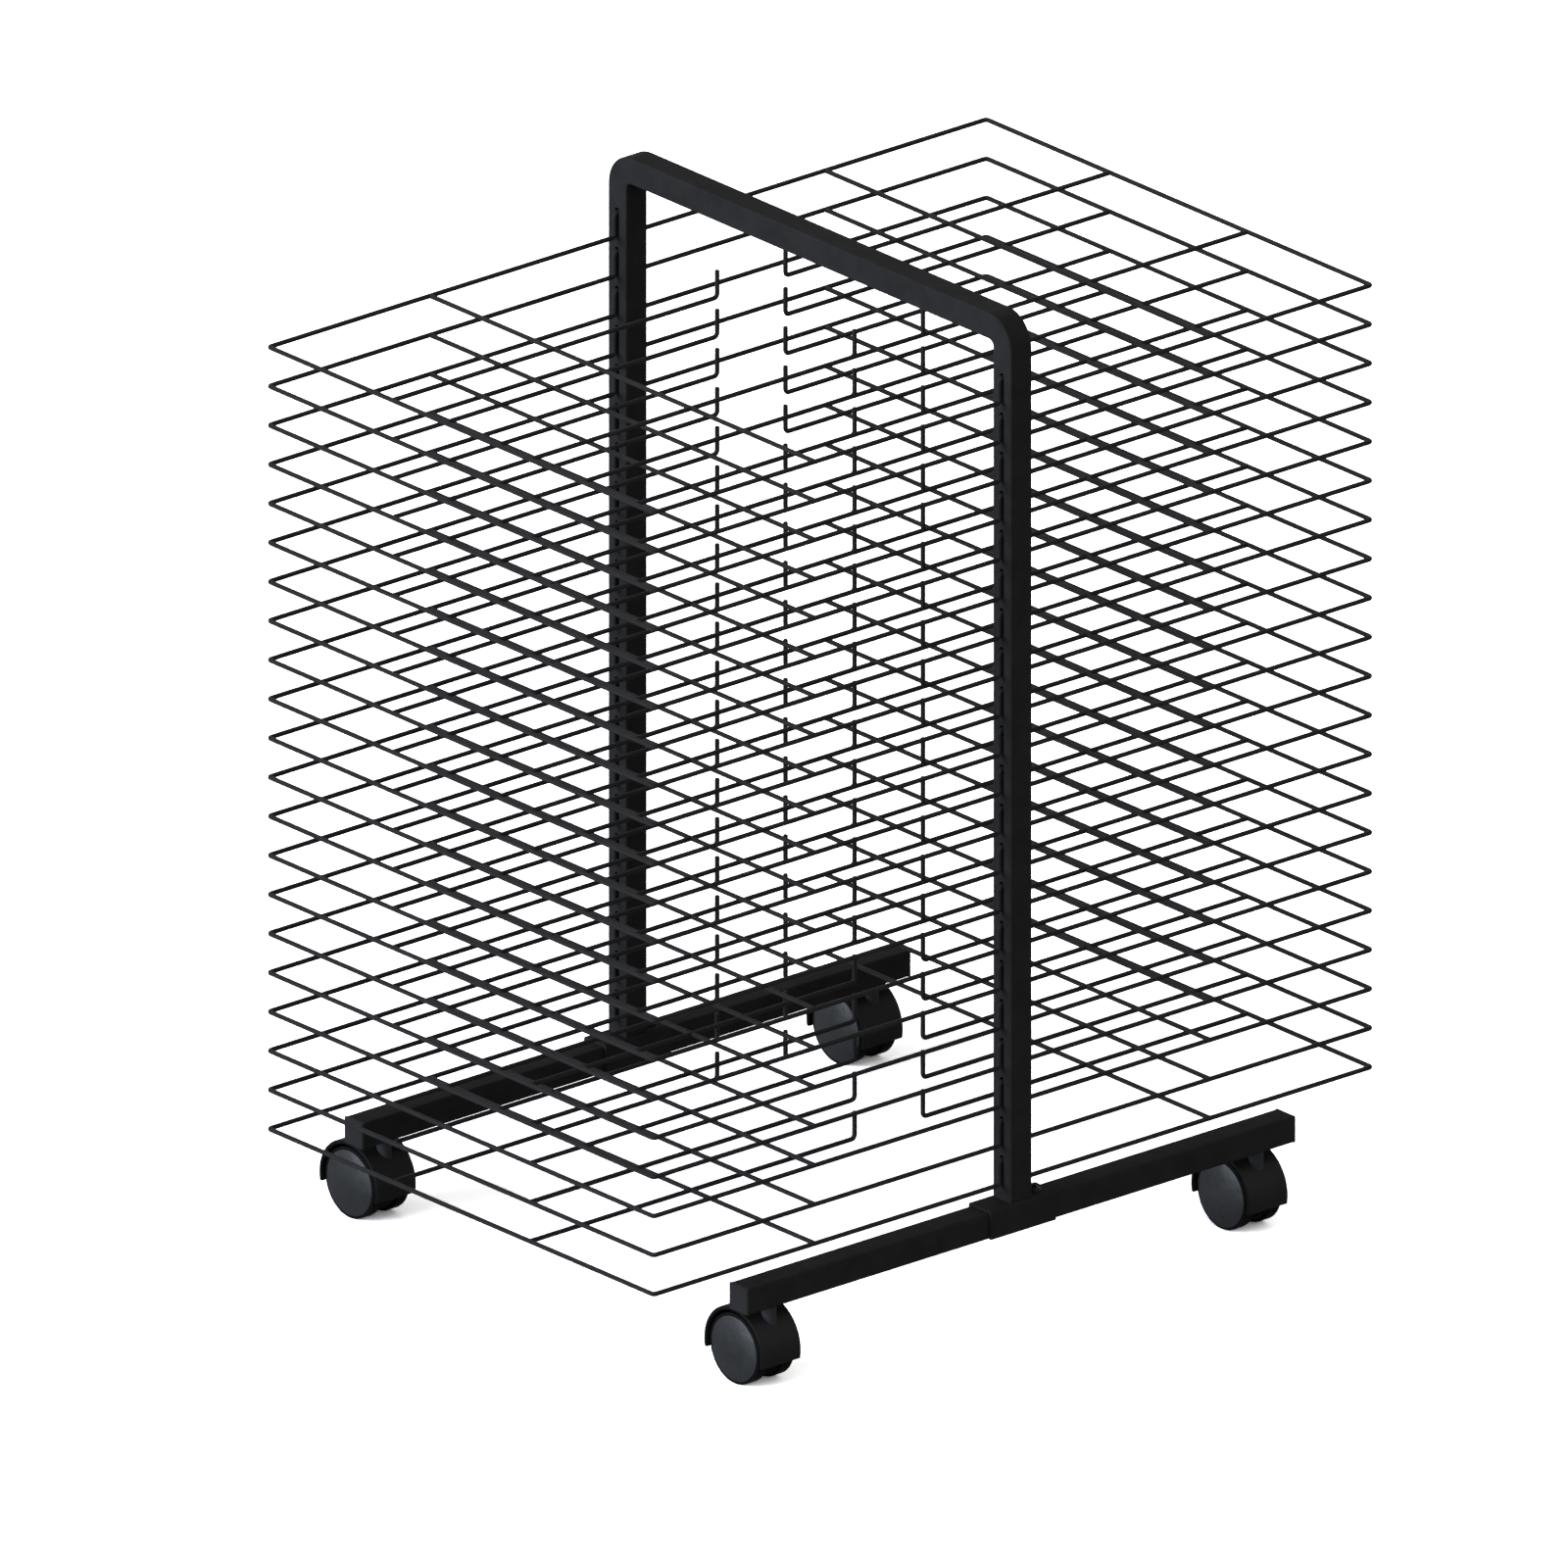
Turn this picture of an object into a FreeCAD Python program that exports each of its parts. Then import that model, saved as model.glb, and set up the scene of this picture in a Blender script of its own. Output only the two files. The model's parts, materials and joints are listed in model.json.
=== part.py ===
import FreeCAD, Part
import Sketcher
import math
import os

from FreeCAD import Placement, Rotation, Vector

# Double-sided art drying rack: a hoop of square tube on two foot bars with four hooded
# twin-wheel casters, and wire shelves that hook into both faces of the two uprights.
# Millimetres. +Z is up, X runs from upright to upright, Y along the depth of the shelves
# (front is -Y). The origin is on the floor, in the middle of the four casters' wheels.

# Each driving dimension: its alias in the sheet, its value and what it is.
SIZES = [
    # hoop and foot bars
    ("upright_spacing", 420, "between the centre lines of the two uprights"),
    ("overall_height", 759, "floor to the top of the hoop"),
    ("tube_side", 20, "outside of the square frame tube"),
    ("tube_wall", 1.5, "wall of the frame tube"),
    ("tube_edge_radius", 1.5, "rounding of the frame tube's long edges"),
    ("hoop_bend_radius", 15, "centre line radius of the hoop's two top bends"),
    ("bar_length", 514, "foot bar over its end caps"),
    ("bar_underside_height", 63, "floor to the underside of the foot bars"),
    # bracket that saddles the foot bar under each upright
    ("saddle_length", 61, "saddle bracket along the foot bar"),
    ("saddle_thickness", 2, "sheet of the saddle bracket"),
    ("saddle_bend_radius", 1.8, "outside rounding of the saddle's two folds"),
    ("saddle_fit", 0.1, "clearance between saddle sides and foot bar"),
    # button-head screw through the saddle into the foot bar
    ("screw_offset", 20, "screw behind the centre line of the upright"),
    ("screw_diameter", 6, "screw thread"),
    ("screw_length", 14, "screw under its head"),
    ("screw_hole_clearance", 0.2, "around the screw in the saddle"),
    ("screw_head_diameter", 10.5, "button head"),
    ("screw_head_height", 3.3, "button head"),
    ("screw_head_rim", 0.8, "straight rim of the button head"),
    ("screw_socket_width", 4, "hexagon socket across flats"),
    ("screw_socket_depth", 2, "hexagon socket"),
    # threaded bushes drawn out of the foot bar's wall, for the screws and caster stems
    ("bush_height", 5, "threaded bush inside the foot bar's wall"),
    ("bush_wall", 2, "wall of the threaded bush"),
    ("thread_clearance", 0.05, "around a thread in its bush"),
    # plastic caps in the ends of the foot bars
    ("cap_plate", 2, "visible plate of the end cap"),
    ("cap_bevel", 0.7, "bevel around the end cap's plate"),
    ("cap_plug_length", 10, "part of the end cap inside the bar"),
    ("cap_plug_wall", 2, "wall of the end cap's plug"),
    ("cap_fit", 0.1, "clearance between plug and bar"),
    # caster stem
    ("stem_inset", 29, "caster stem from the end of the foot bar"),
    ("stem_diameter", 8, "thread and pin of the stem"),
    ("stem_thread_length", 14, "stem above the underside of the foot bar"),
    ("stem_flange_diameter", 13, "flange against the foot bar"),
    ("stem_flange_thickness", 1.3, "flange against the foot bar"),
    ("stem_pin_length", 26, "stem below its flange"),
    ("snap_depth", 0.6, "depth of the snap groove in a stem or axle"),
    ("snap_width", 2, "width of the snap groove"),
    ("snap_play", 0.2, "clearance of the snap bead in its groove"),
    ("snap_setback", 3, "snap groove from the end of the stem or axle"),
    # caster housing
    ("caster_trail", 18, "wheel centre from the stem's axis"),
    ("wheel_radius", 26.5, "caster wheel"),
    ("hood_gap", 2.8, "between wheel tread and hood"),
    ("hood_wall", 2.7, "wall of the hood"),
    ("hood_skirt", 6.5, "hood below the wheel's centre"),
    ("hood_setback", 1.6, "hood's rims behind the tops of the wheels' domed faces"),
    ("hood_edge_radius", 1, "rounding of the hood's rims"),
    ("web_thickness", 9, "web between the two wheels"),
    ("boss_radius", 5.4, "round boss that holds the stem"),
    ("boss_gap", 0.3, "between boss and stem flange"),
    ("boss_floor", 3, "material below the stem's bore"),
    ("swivel_clearance", 0.05, "around the stem in the boss"),
    ("bore_end_gap", 0.5, "beyond the end of a stem or axle in its blind bore"),
    # twin wheels and their axle
    ("axle_radius", 3, "axle pin"),
    ("axle_length", 29, "axle pin"),
    ("axle_clearance", 0.05, "around the axle in a wheel's hub"),
    ("wheel_width", 13.1, "wheel along its axle, with its domed face"),
    ("wheel_side_gap", 1.4, "between wheel and boss"),
    ("wheel_dome", 3.2, "rise of the wheel's closed outer face"),
    ("wheel_tread_radius", 1.2, "rounding of the tread's edges"),
    ("wheel_groove_inset", 1.4, "groove around the closed face, from the tread"),
    ("wheel_groove_width", 0.5, "groove around the closed face"),
    ("wheel_groove_depth", 0.6, "groove around the closed face, at the face's edge"),
    ("wheel_rim", 4, "thickness of the rim under the tread"),
    ("wheel_disc", 2.2, "thickness of the closed face at its edge"),
    ("hub_wall", 2.5, "wall of the wheel's hub"),
    ("hub_gap", 0.4, "between hub and web"),
    # wire shelves
    ("tier_count", 21, "shelves on each side"),
    ("bottom_tier_gap", 12, "top of the saddle brackets to the lowest shelf's wires"),
    ("top_tier_drop", 64, "top of the hoop to the highest shelf's wires"),
    ("wire_diameter", 3.5, "shelf wire"),
    ("shelf_reach", 336, "outer edge wire from the plane of the hoop"),
    ("shelf_corner_radius", 2.5, "centre line radius of the shelf's outer corners"),
    ("wire_bend_radius", 3.2, "centre line radius of the other bends"),
    ("hook_rise", 18.5, "hook above the plane of its shelf"),
    ("hook_reach", 6, "hook inside the face of the upright"),
    ("hook_gap", 0.3, "between the upright's face and the hook's leg"),
    ("stop_wire_spacing", 150, "between the two inner wires"),
    ("stop_setback", 32, "turned-up ends from the plane of the hoop"),
    ("stop_rise", 21, "turned-up ends above the plane of the shelf"),
    ("stop_tip_radius", 0.9, "rounding of the turned-up ends"),
    ("cross_wire_inset", 151, "cross wires from the outer edge wire"),
    ("weld_sink", 0.2, "how far two welded wires sink into each other"),
    # hook slots in the uprights
    ("shelf_swing", 45, "degrees that a shelf lifts about its hooks"),
    ("slot_side_clearance", 0.3, "beside the hook in its slot"),
    ("slot_end_clearance", 0.3, "above and below the fully lifted hook in its slot"),
    ("slot_corner_radius", 1.2, "corners of the slot"),
    # cutting tools
    ("overcut", 1, "how far a cutting tool runs past the surface that it cuts"),
]

doc = FreeCAD.newDocument("art_drying_rack")
nodes = []


# --- sizes and formulas --------------------------------------------------------------


class Formula:
    """A number worked out from the sheet's sizes, with the expression that says how."""

    def __init__(self, text, number):
        self.text = text
        self.number = number

    def _join(self, sign, other, number):
        return Formula(f"({self.text} {sign} {other.text})", number)

    def __add__(self, other):
        other = as_formula(other)
        return self._join("+", other, self.number + other.number)

    def __sub__(self, other):
        other = as_formula(other)
        return self._join("-", other, self.number - other.number)

    def __mul__(self, other):
        other = as_formula(other)
        return self._join("*", other, self.number * other.number)

    def __truediv__(self, other):
        other = as_formula(other)
        return self._join("/", other, self.number / other.number)

    def __neg__(self):
        return Formula(f"(-{self.text})", -self.number)


def as_formula(thing):
    return thing if isinstance(thing, Formula) else Formula(str(thing), float(thing))


def cosine(angle):
    return Formula(f"cos({angle.text})", math.cos(math.radians(angle.number)))


def tangent(angle):
    return Formula(f"tan({angle.text})", math.tan(math.radians(angle.number)))


def make_sheet():
    """Fill the sheet: what a size is in column A, its value and alias in column B."""
    sheet = doc.addObject("Spreadsheet::Sheet", "sizes")
    for row, (alias, number, meaning) in enumerate(SIZES, 1):
        sheet.set(f"A{row}", meaning)
        sheet.set(f"B{row}", str(number))
        sheet.setAlias(f"B{row}", alias)
    doc.recompute()
    return sheet


sheet = make_sheet()


def size(alias):
    """The size with this alias, as the sheet holds it."""
    return Formula(f"sizes.{alias}", float(sheet.get(alias)))


ZERO = as_formula(0)
HEXAGON_HALF_ANGLE = as_formula(180) / 6

# Places and sizes that several pieces share.
TUBE = size("tube_side")
HALF_TUBE = TUBE / 2
HALF_SPACING = size("upright_spacing") / 2
HOOP_X = size("caster_trail")
BAR_MIDDLE = size("bar_underside_height") + HALF_TUBE
HOOP_FOOT = size("bar_underside_height") + TUBE + size("saddle_thickness")
STEM_Y = size("bar_length") / 2 - size("stem_inset")
WIRE = size("wire_diameter")
WIRE_RADIUS = WIRE / 2
SCREW_RADIUS = size("screw_diameter") / 2
STEM_RADIUS = size("stem_diameter") / 2
HOOD_RADIUS = size("wheel_radius") + size("hood_gap") + size("hood_wall")
WHEEL_START = size("boss_radius") + size("wheel_side_gap")
WHEEL_FACE = WHEEL_START + size("wheel_width")
HUB_RADIUS = size("axle_radius") + size("axle_clearance") + size("hub_wall")
BOTTOM_TIER = HOOP_FOOT + size("bottom_tier_gap")
TIER_SPAN = size("overall_height") - size("top_tier_drop") - BOTTOM_TIER
TIER_PITCH = TIER_SPAN / (size("tier_count") - 1)


def bind(thing, prop, formula):
    """Tie a property to the sheet."""
    thing.setExpression(prop, as_formula(formula).text)


def bind_place(thing, x, y, z):
    """Tie the three coordinates of a placement to the sheet."""
    for axis, formula in zip("xyz", (x, y, z)):
        bind(thing, f".Placement.Base.{axis}", formula)


# --- primitives, booleans and copies -------------------------------------------------

AXIS_TURNS = {
    "x": Rotation(Vector(0, 1, 0), 90),
    "y": Rotation(Vector(1, 0, 0), -90),
    "z": Rotation(),
}


def cylinder(name, radius, length, x=ZERO, y=ZERO, z=ZERO, along="z"):
    """A round bar that starts at a point and runs along an axis."""
    bar = doc.addObject("Part::Cylinder", name)
    bind(bar, "Radius", radius)
    bind(bar, "Height", length)
    bar.Placement = Placement(Vector(), AXIS_TURNS[along])
    bind_place(bar, x, y, z)
    return bar


def box(name, length, width, height, x=ZERO, y=ZERO, z=ZERO):
    """A block; x and y are its middle, z is its underside."""
    block = doc.addObject("Part::Box", name)
    bind(block, "Length", length)
    bind(block, "Width", width)
    bind(block, "Height", height)
    bind_place(block, x - length / 2, y - width / 2, z)
    return block


def cut(name, base, tool):
    result = doc.addObject("Part::Cut", name)
    result.Base = base
    result.Tool = tool
    return result


def common(name, base, tool):
    result = doc.addObject("Part::Common", name)
    result.Base = base
    result.Tool = tool
    return result


def fuse(name, pieces):
    result = doc.addObject("Part::MultiFuse", name)
    result.Shapes = pieces
    return result


def treat_edges(kind, name, base, amount, wanted):
    """Fillet or chamfer the edges of a piece that a test picks."""
    doc.recompute()
    result = doc.addObject(kind, name)
    result.Base = base
    picked = [i for i, edge in enumerate(base.Shape.Edges, 1) if wanted(edge)]
    if not picked:
        raise RuntimeError(f"{name}: no edge to work on")
    result.Edges = [(i, amount.number, amount.number) for i in picked]
    return result


def near(a, b):
    return abs(a - b) < 1e-4


def is_circle(edge, radius):
    return isinstance(edge.Curve, Part.Circle) and near(edge.Curve.Radius, radius.number)


def place_copy(name, pieces, x=ZERO, y=ZERO, z=ZERO, turn=0):
    """Copies of pieces as one object, turned about Z and moved."""
    copy = doc.addObject("Part::Compound", name)
    copy.Links = pieces
    copy.Placement = Placement(Vector(), Rotation(Vector(0, 0, 1), turn))
    bind_place(copy, x, y, z)
    return copy


def make_node(name, pieces, x=ZERO, y=ZERO, z=ZERO, turn=0):
    """A named sub-part of one or more solids, which becomes one STEP file."""
    group = place_copy(name, pieces, x, y, z, turn)
    group.Label = name
    nodes.append(group)


# --- sketches ------------------------------------------------------------------------


def origin_part(body, role):
    return next(part for part in body.Origin.OriginFeatures if part.Role == role)


def new_sketch(body, name, plane):
    sketch = body.newObject("Sketcher::SketchObject", name)
    sketch.AttachmentSupport = (origin_part(body, plane), [""])
    sketch.MapMode = "FlatFace"
    return sketch


def pin_down(sketch, line, point, axis, formula):
    """Hold one coordinate of a line's end at a formula's value."""
    kind = "DistanceX" if axis == "x" else "DistanceY"
    number = formula.number
    if near(number, 0):
        datum_axis = -2 if axis == "x" else -1
        sketch.addConstraint(Sketcher.Constraint("PointOnObject", line, point, datum_axis))
    elif number > 0:
        index = sketch.addConstraint(Sketcher.Constraint(kind, -1, 1, line, point, number))
        bind(sketch, f"Constraints[{index}]", formula)
    else:
        index = sketch.addConstraint(Sketcher.Constraint(kind, line, point, -1, 1, -number))
        bind(sketch, f"Constraints[{index}]", -formula)


def outline(sketch, sides, corner=None, ends=None):
    """Draw upright and level lines in turn, round a loop or from one open end to the other.

    sides gives each line's place: ("x", formula) for an upright line, ("y", formula) for a
    level one. corner rounds the corners between them. ends gives where an open path starts
    along its first line and stops along its last.
    """
    count = len(sides)
    places = [formula.number for _, formula in sides]
    radius = corner.number if corner else 0

    def crossing(i):
        one, other = places[i % count], places[(i + 1) % count]
        return Vector(one, other) if sides[i % count][0] == "x" else Vector(other, one)

    corners = [crossing(i) for i in range(count - 1 if ends else count)]
    if ends:
        first = Vector(places[0], ends[0].number)
        last = Vector(places[-1], ends[1].number)
        points = [first] + corners + [last]
    else:
        points = [corners[-1]] + corners
    lines = []
    for i, (start, end) in enumerate(zip(points, points[1:])):
        way = (end - start).normalize()
        trim_start = radius if i > 0 or not ends else 0
        trim_end = radius if i < count - 1 or not ends else 0
        segment = Part.LineSegment(start + way * trim_start, end - way * trim_end)
        lines.append((sketch.addGeometry(segment, False), way))
        direction = "Vertical" if sides[i][0] == "x" else "Horizontal"
        sketch.addConstraint(Sketcher.Constraint(direction, lines[-1][0]))
    first_arc = None
    for i, point in enumerate(corners):
        (line, way), (next_line, next_way) = lines[i], lines[(i + 1) % count]
        if not corner:
            sketch.addConstraint(Sketcher.Constraint("Coincident", line, 2, next_line, 1))
            continue
        centre = point - way * radius + next_way * radius
        left_turn = way.cross(next_way).z > 0
        from_point, to_point = point - way * radius, point + next_way * radius
        if not left_turn:
            from_point, to_point = to_point, from_point
        angles = [math.atan2(p.y - centre.y, p.x - centre.x) for p in (from_point, to_point)]
        circle = Part.Circle(centre, Vector(0, 0, 1), radius)
        arc = sketch.addGeometry(Part.ArcOfCircle(circle, *angles), False)
        near_end, far_end = (1, 2) if left_turn else (2, 1)
        sketch.addConstraint(Sketcher.Constraint("Tangent", line, 2, arc, near_end))
        sketch.addConstraint(Sketcher.Constraint("Tangent", next_line, 1, arc, far_end))
        if first_arc is None:
            first_arc = arc
            index = sketch.addConstraint(Sketcher.Constraint("Radius", arc, radius))
            bind(sketch, f"Constraints[{index}]", corner)
        else:
            sketch.addConstraint(Sketcher.Constraint("Equal", first_arc, arc))
    for (line, _), (axis, formula) in zip(lines, sides):
        pin_down(sketch, line, 1, axis, formula)
    if ends:
        pin_down(sketch, lines[0][0], 1, "y", ends[0])
        pin_down(sketch, lines[-1][0], 2, "y", ends[1])


def tube_section(sketch, x=ZERO):
    """The frame tube's square section, centred on (x, 0)."""
    inner = HALF_TUBE - size("tube_wall")
    outer_sides = [("x", x + HALF_TUBE), ("y", HALF_TUBE), ("x", x - HALF_TUBE), ("y", -HALF_TUBE)]
    inner_sides = [("x", x + inner), ("y", inner), ("x", x - inner), ("y", -inner)]
    outline(sketch, outer_sides, size("tube_edge_radius"))
    outline(sketch, inner_sides)


def revolved(name, sides, plane, axis):
    """A round piece turned from half of its section."""
    body = doc.addObject("PartDesign::Body", name)
    sketch = new_sketch(body, f"{name}_section", plane)
    outline(sketch, sides)
    turned = body.newObject("PartDesign::Revolution", f"{name}_turned")
    turned.Profile = sketch
    turned.ReferenceAxis = (origin_part(body, axis), [""])
    turned.Angle = 360
    return body


# --- frame ---------------------------------------------------------------------------


def make_hoop():
    """Both uprights and the top bar: one bent tube, slotted for the shelves' hooks."""
    body = doc.addObject("PartDesign::Body", "hoop_tube")
    path = new_sketch(body, "hoop_path", "XZ_Plane")
    top = size("overall_height") - HALF_TUBE
    sides = [("x", -HALF_SPACING), ("y", top), ("x", HALF_SPACING)]
    outline(path, sides, size("hoop_bend_radius"), ends=(HOOP_FOOT, HOOP_FOOT))
    section = new_sketch(body, "hoop_section", "XY_Plane")
    bind(section, ".AttachmentOffset.Base.z", HOOP_FOOT)
    tube_section(section, -HALF_SPACING)
    doc.recompute()
    pipe = body.newObject("PartDesign::AdditivePipe", "hoop_bent")
    pipe.Profile = section
    pipe.Spine = (path, [])
    doc.recompute()

    swing = size("shelf_swing")
    width = WIRE + size("slot_side_clearance") * 2
    height = WIRE / cosine(swing) + size("tube_wall") * tangent(swing)
    height = height + size("slot_end_clearance") * 2
    middle = BOTTOM_TIER + size("hook_rise")
    slots = new_sketch(body, "hook_slot_pair", "XZ_Plane")
    for x in (-HALF_SPACING, HALF_SPACING):
        left, right = ("x", x - width / 2), ("x", x + width / 2)
        low, high = ("y", middle - height / 2), ("y", middle + height / 2)
        outline(slots, [right, high, left, low], size("slot_corner_radius"))
    pocket = body.newObject("PartDesign::Pocket", "hook_slots")
    pocket.Profile = slots
    pocket.Type = "ThroughAll"
    pocket.SideType = "Symmetric"
    pocket.Refine = False
    doc.recompute()
    rows = body.newObject("PartDesign::LinearPattern", "hook_slot_rows")
    rows.Originals = [pocket]
    rows.Direction = (origin_part(body, "Z_Axis"), [""])
    rows.Mode = "Spacing"
    rows.Refine = False
    bind(rows, "Offset", TIER_PITCH)
    bind(rows, "Occurrences", size("tier_count"))
    body.Tip = rows
    make_node("frame_hoop", [body], x=HOOP_X)


def make_foot_bars():
    """Square tubes under the uprights, with threaded bushes for the stems and the screw."""
    body = doc.addObject("PartDesign::Body", "foot_bar_tube")
    sketch = new_sketch(body, "foot_bar_section", "XZ_Plane")
    tube_section(sketch)
    pad = body.newObject("PartDesign::Pad", "foot_bar_run")
    pad.Profile = sketch
    pad.SideType = "Symmetric"
    bind(pad, "Length", size("bar_length") - size("cap_plate") * 2)

    thread_gap, wall = size("thread_clearance"), size("tube_wall")
    height = size("bush_height") + wall / 2
    reach = height + wall / 2 + size("overcut")
    stem_bore, screw_bore = STEM_RADIUS + thread_gap, SCREW_RADIUS + thread_gap
    bushes, bores = [], []
    for name, y in (("front", -STEM_Y), ("back", STEM_Y)):
        radius = stem_bore + size("bush_wall")
        bush = cylinder(f"stem_bush_{name}", radius, height, y=y, z=wall / 2 - HALF_TUBE)
        bore = cylinder(f"stem_bore_{name}", stem_bore, reach, y=y, z=-HALF_TUBE - size("overcut"))
        bushes.append(bush)
        bores.append(bore)
    y = size("screw_offset")
    low = HALF_TUBE - wall / 2 - height
    bushes.append(cylinder("screw_bush", screw_bore + size("bush_wall"), height, y=y, z=low))
    reach = reach + size("overcut")
    bores.append(cylinder("screw_bore", screw_bore, reach, y=y, z=low - size("overcut")))
    blank = fuse("foot_bar_with_bushes", [body] + bushes)
    bar = cut("foot_bar", blank, fuse("foot_bar_bores", bores))
    left = place_copy("foot_bar_left", [bar], HOOP_X - HALF_SPACING, z=BAR_MIDDLE)
    right = place_copy("foot_bar_right", [bar], HOOP_X + HALF_SPACING, z=BAR_MIDDLE)
    make_node("foot_bars", [left, right])


def make_foot_brackets():
    """Folded saddles that carry the uprights and sit over the foot bars."""
    sheet_gauge, length = size("saddle_thickness"), size("saddle_length")
    inside = TUBE + size("saddle_fit") * 2
    block = box("saddle_block", inside + sheet_gauge * 2, length, TUBE + sheet_gauge, z=-HALF_TUBE)

    def on_fold(edge):
        middle, ends = edge.CenterOfMass, edge.Vertexes
        along_bar = near(ends[0].X, ends[1].X) and near(ends[0].Z, ends[1].Z)
        return along_bar and middle.z > 0

    folded = treat_edges(
        "Part::Fillet", "saddle_folds", block, size("saddle_bend_radius"), on_fold
    )
    overcut = size("overcut")
    gap = box("saddle_gap", inside, length + overcut * 2, TUBE + overcut, z=-HALF_TUBE - overcut)
    hole_radius = SCREW_RADIUS + size("screw_hole_clearance")
    hole = cylinder("saddle_screw_hole", hole_radius, TUBE, y=size("screw_offset"))
    saddle = cut("saddle", folded, fuse("saddle_cuts", [gap, hole]))
    left = place_copy("foot_bracket_left", [saddle], HOOP_X - HALF_SPACING, z=BAR_MIDDLE)
    right = place_copy("foot_bracket_right", [saddle], HOOP_X + HALF_SPACING, z=BAR_MIDDLE)
    make_node("foot_brackets", [left, right])


def make_bracket_screws():
    """Button-head screws with hexagon sockets, one through each saddle."""
    head_radius, head_height = size("screw_head_diameter") / 2, size("screw_head_height")
    rise = head_height - size("screw_head_rim")
    dome_radius = (head_radius * head_radius + rise * rise) / (rise * 2)
    shank = cylinder("screw_shank", SCREW_RADIUS, size("screw_length"), z=-size("screw_length"))
    head = cylinder("screw_head_round", head_radius, head_height)
    ball = doc.addObject("Part::Sphere", "screw_head_ball")
    bind(ball, "Radius", dome_radius)
    bind_place(ball, ZERO, ZERO, head_height - dome_radius)
    dome = common("screw_head", head, ball)
    socket = doc.addObject("Part::Prism", "screw_socket")
    bind(socket, "Circumradius", size("screw_socket_width") / 2 / cosine(HEXAGON_HALF_ANGLE))
    bind(socket, "Height", size("screw_socket_depth") + size("overcut"))
    bind_place(socket, ZERO, ZERO, head_height - size("screw_socket_depth"))
    screw = cut("screw", fuse("screw_solid", [dome, shank]), socket)
    y, z = size("screw_offset"), HOOP_FOOT
    left = place_copy("bracket_screw_left", [screw], HOOP_X - HALF_SPACING, y, z)
    right = place_copy("bracket_screw_right", [screw], HOOP_X + HALF_SPACING, y, z)
    make_node("bracket_screws", [left, right])


def make_end_caps():
    """Hollow plastic plugs that close the foot bars' ends."""
    plate, plug_length = size("cap_plate"), size("cap_plug_length")
    outer = box("cap_plate_block", TUBE, plate, TUBE, y=-plate / 2, z=-HALF_TUBE)

    def on_face(edge):
        return all(near(vertex.Y, -plate.number) for vertex in edge.Vertexes)

    bevelled = treat_edges("Part::Chamfer", "cap_plate_bevel", outer, size("cap_bevel"), on_face)
    side = TUBE - (size("tube_wall") + size("cap_fit")) * 2
    hollow_side = side - size("cap_plug_wall") * 2
    plug = box("cap_plug", side, plug_length, side, y=plug_length / 2, z=-side / 2)
    hollow = box(
        "cap_hollow", hollow_side, plug_length, hollow_side, y=plug_length / 2, z=-hollow_side / 2
    )
    cap = cut("end_cap", fuse("cap_solid", [bevelled, plug]), hollow)
    bar_end = size("bar_length") / 2 - plate
    caps = []
    for side_name, x in (("left", HOOP_X - HALF_SPACING), ("right", HOOP_X + HALF_SPACING)):
        for end_name, y, turn in (("front", -bar_end, 0), ("back", bar_end, 180)):
            name = f"end_cap_{end_name}_{side_name}"
            caps.append(place_copy(name, [cap], x, y, BAR_MIDDLE, turn))
    make_node("bar_end_caps", caps)


# --- casters -------------------------------------------------------------------------

CASTER_PLACES = [
    ("front_left", HOOP_X - HALF_SPACING, -STEM_Y),
    ("front_right", HOOP_X + HALF_SPACING, -STEM_Y),
    ("back_left", HOOP_X - HALF_SPACING, STEM_Y),
    ("back_right", HOOP_X + HALF_SPACING, STEM_Y),
]


def make_caster_stems():
    """Steel stems: thread up into the foot bar, flange below it, grooved pin in the housing."""
    flange_bottom = -size("stem_flange_thickness")
    pin_bottom = flange_bottom - size("stem_pin_length")
    groove_low = pin_bottom + size("snap_setback")
    groove_high = groove_low + size("snap_width")
    sides = [
        ("y", pin_bottom),
        ("x", STEM_RADIUS),
        ("y", groove_low),
        ("x", STEM_RADIUS - size("snap_depth")),
        ("y", groove_high),
        ("x", STEM_RADIUS),
        ("y", flange_bottom),
        ("x", size("stem_flange_diameter") / 2),
        ("y", ZERO),
        ("x", STEM_RADIUS),
        ("y", size("stem_thread_length")),
        ("x", ZERO),
    ]
    stem = revolved("stem", sides, "XZ_Plane", "Z_Axis")
    copies = []
    for name, x, y in CASTER_PLACES:
        copies.append(place_copy(f"stem_{name}", [stem], x, y, size("bar_underside_height")))
    make_node("caster_stems", copies)


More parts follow.
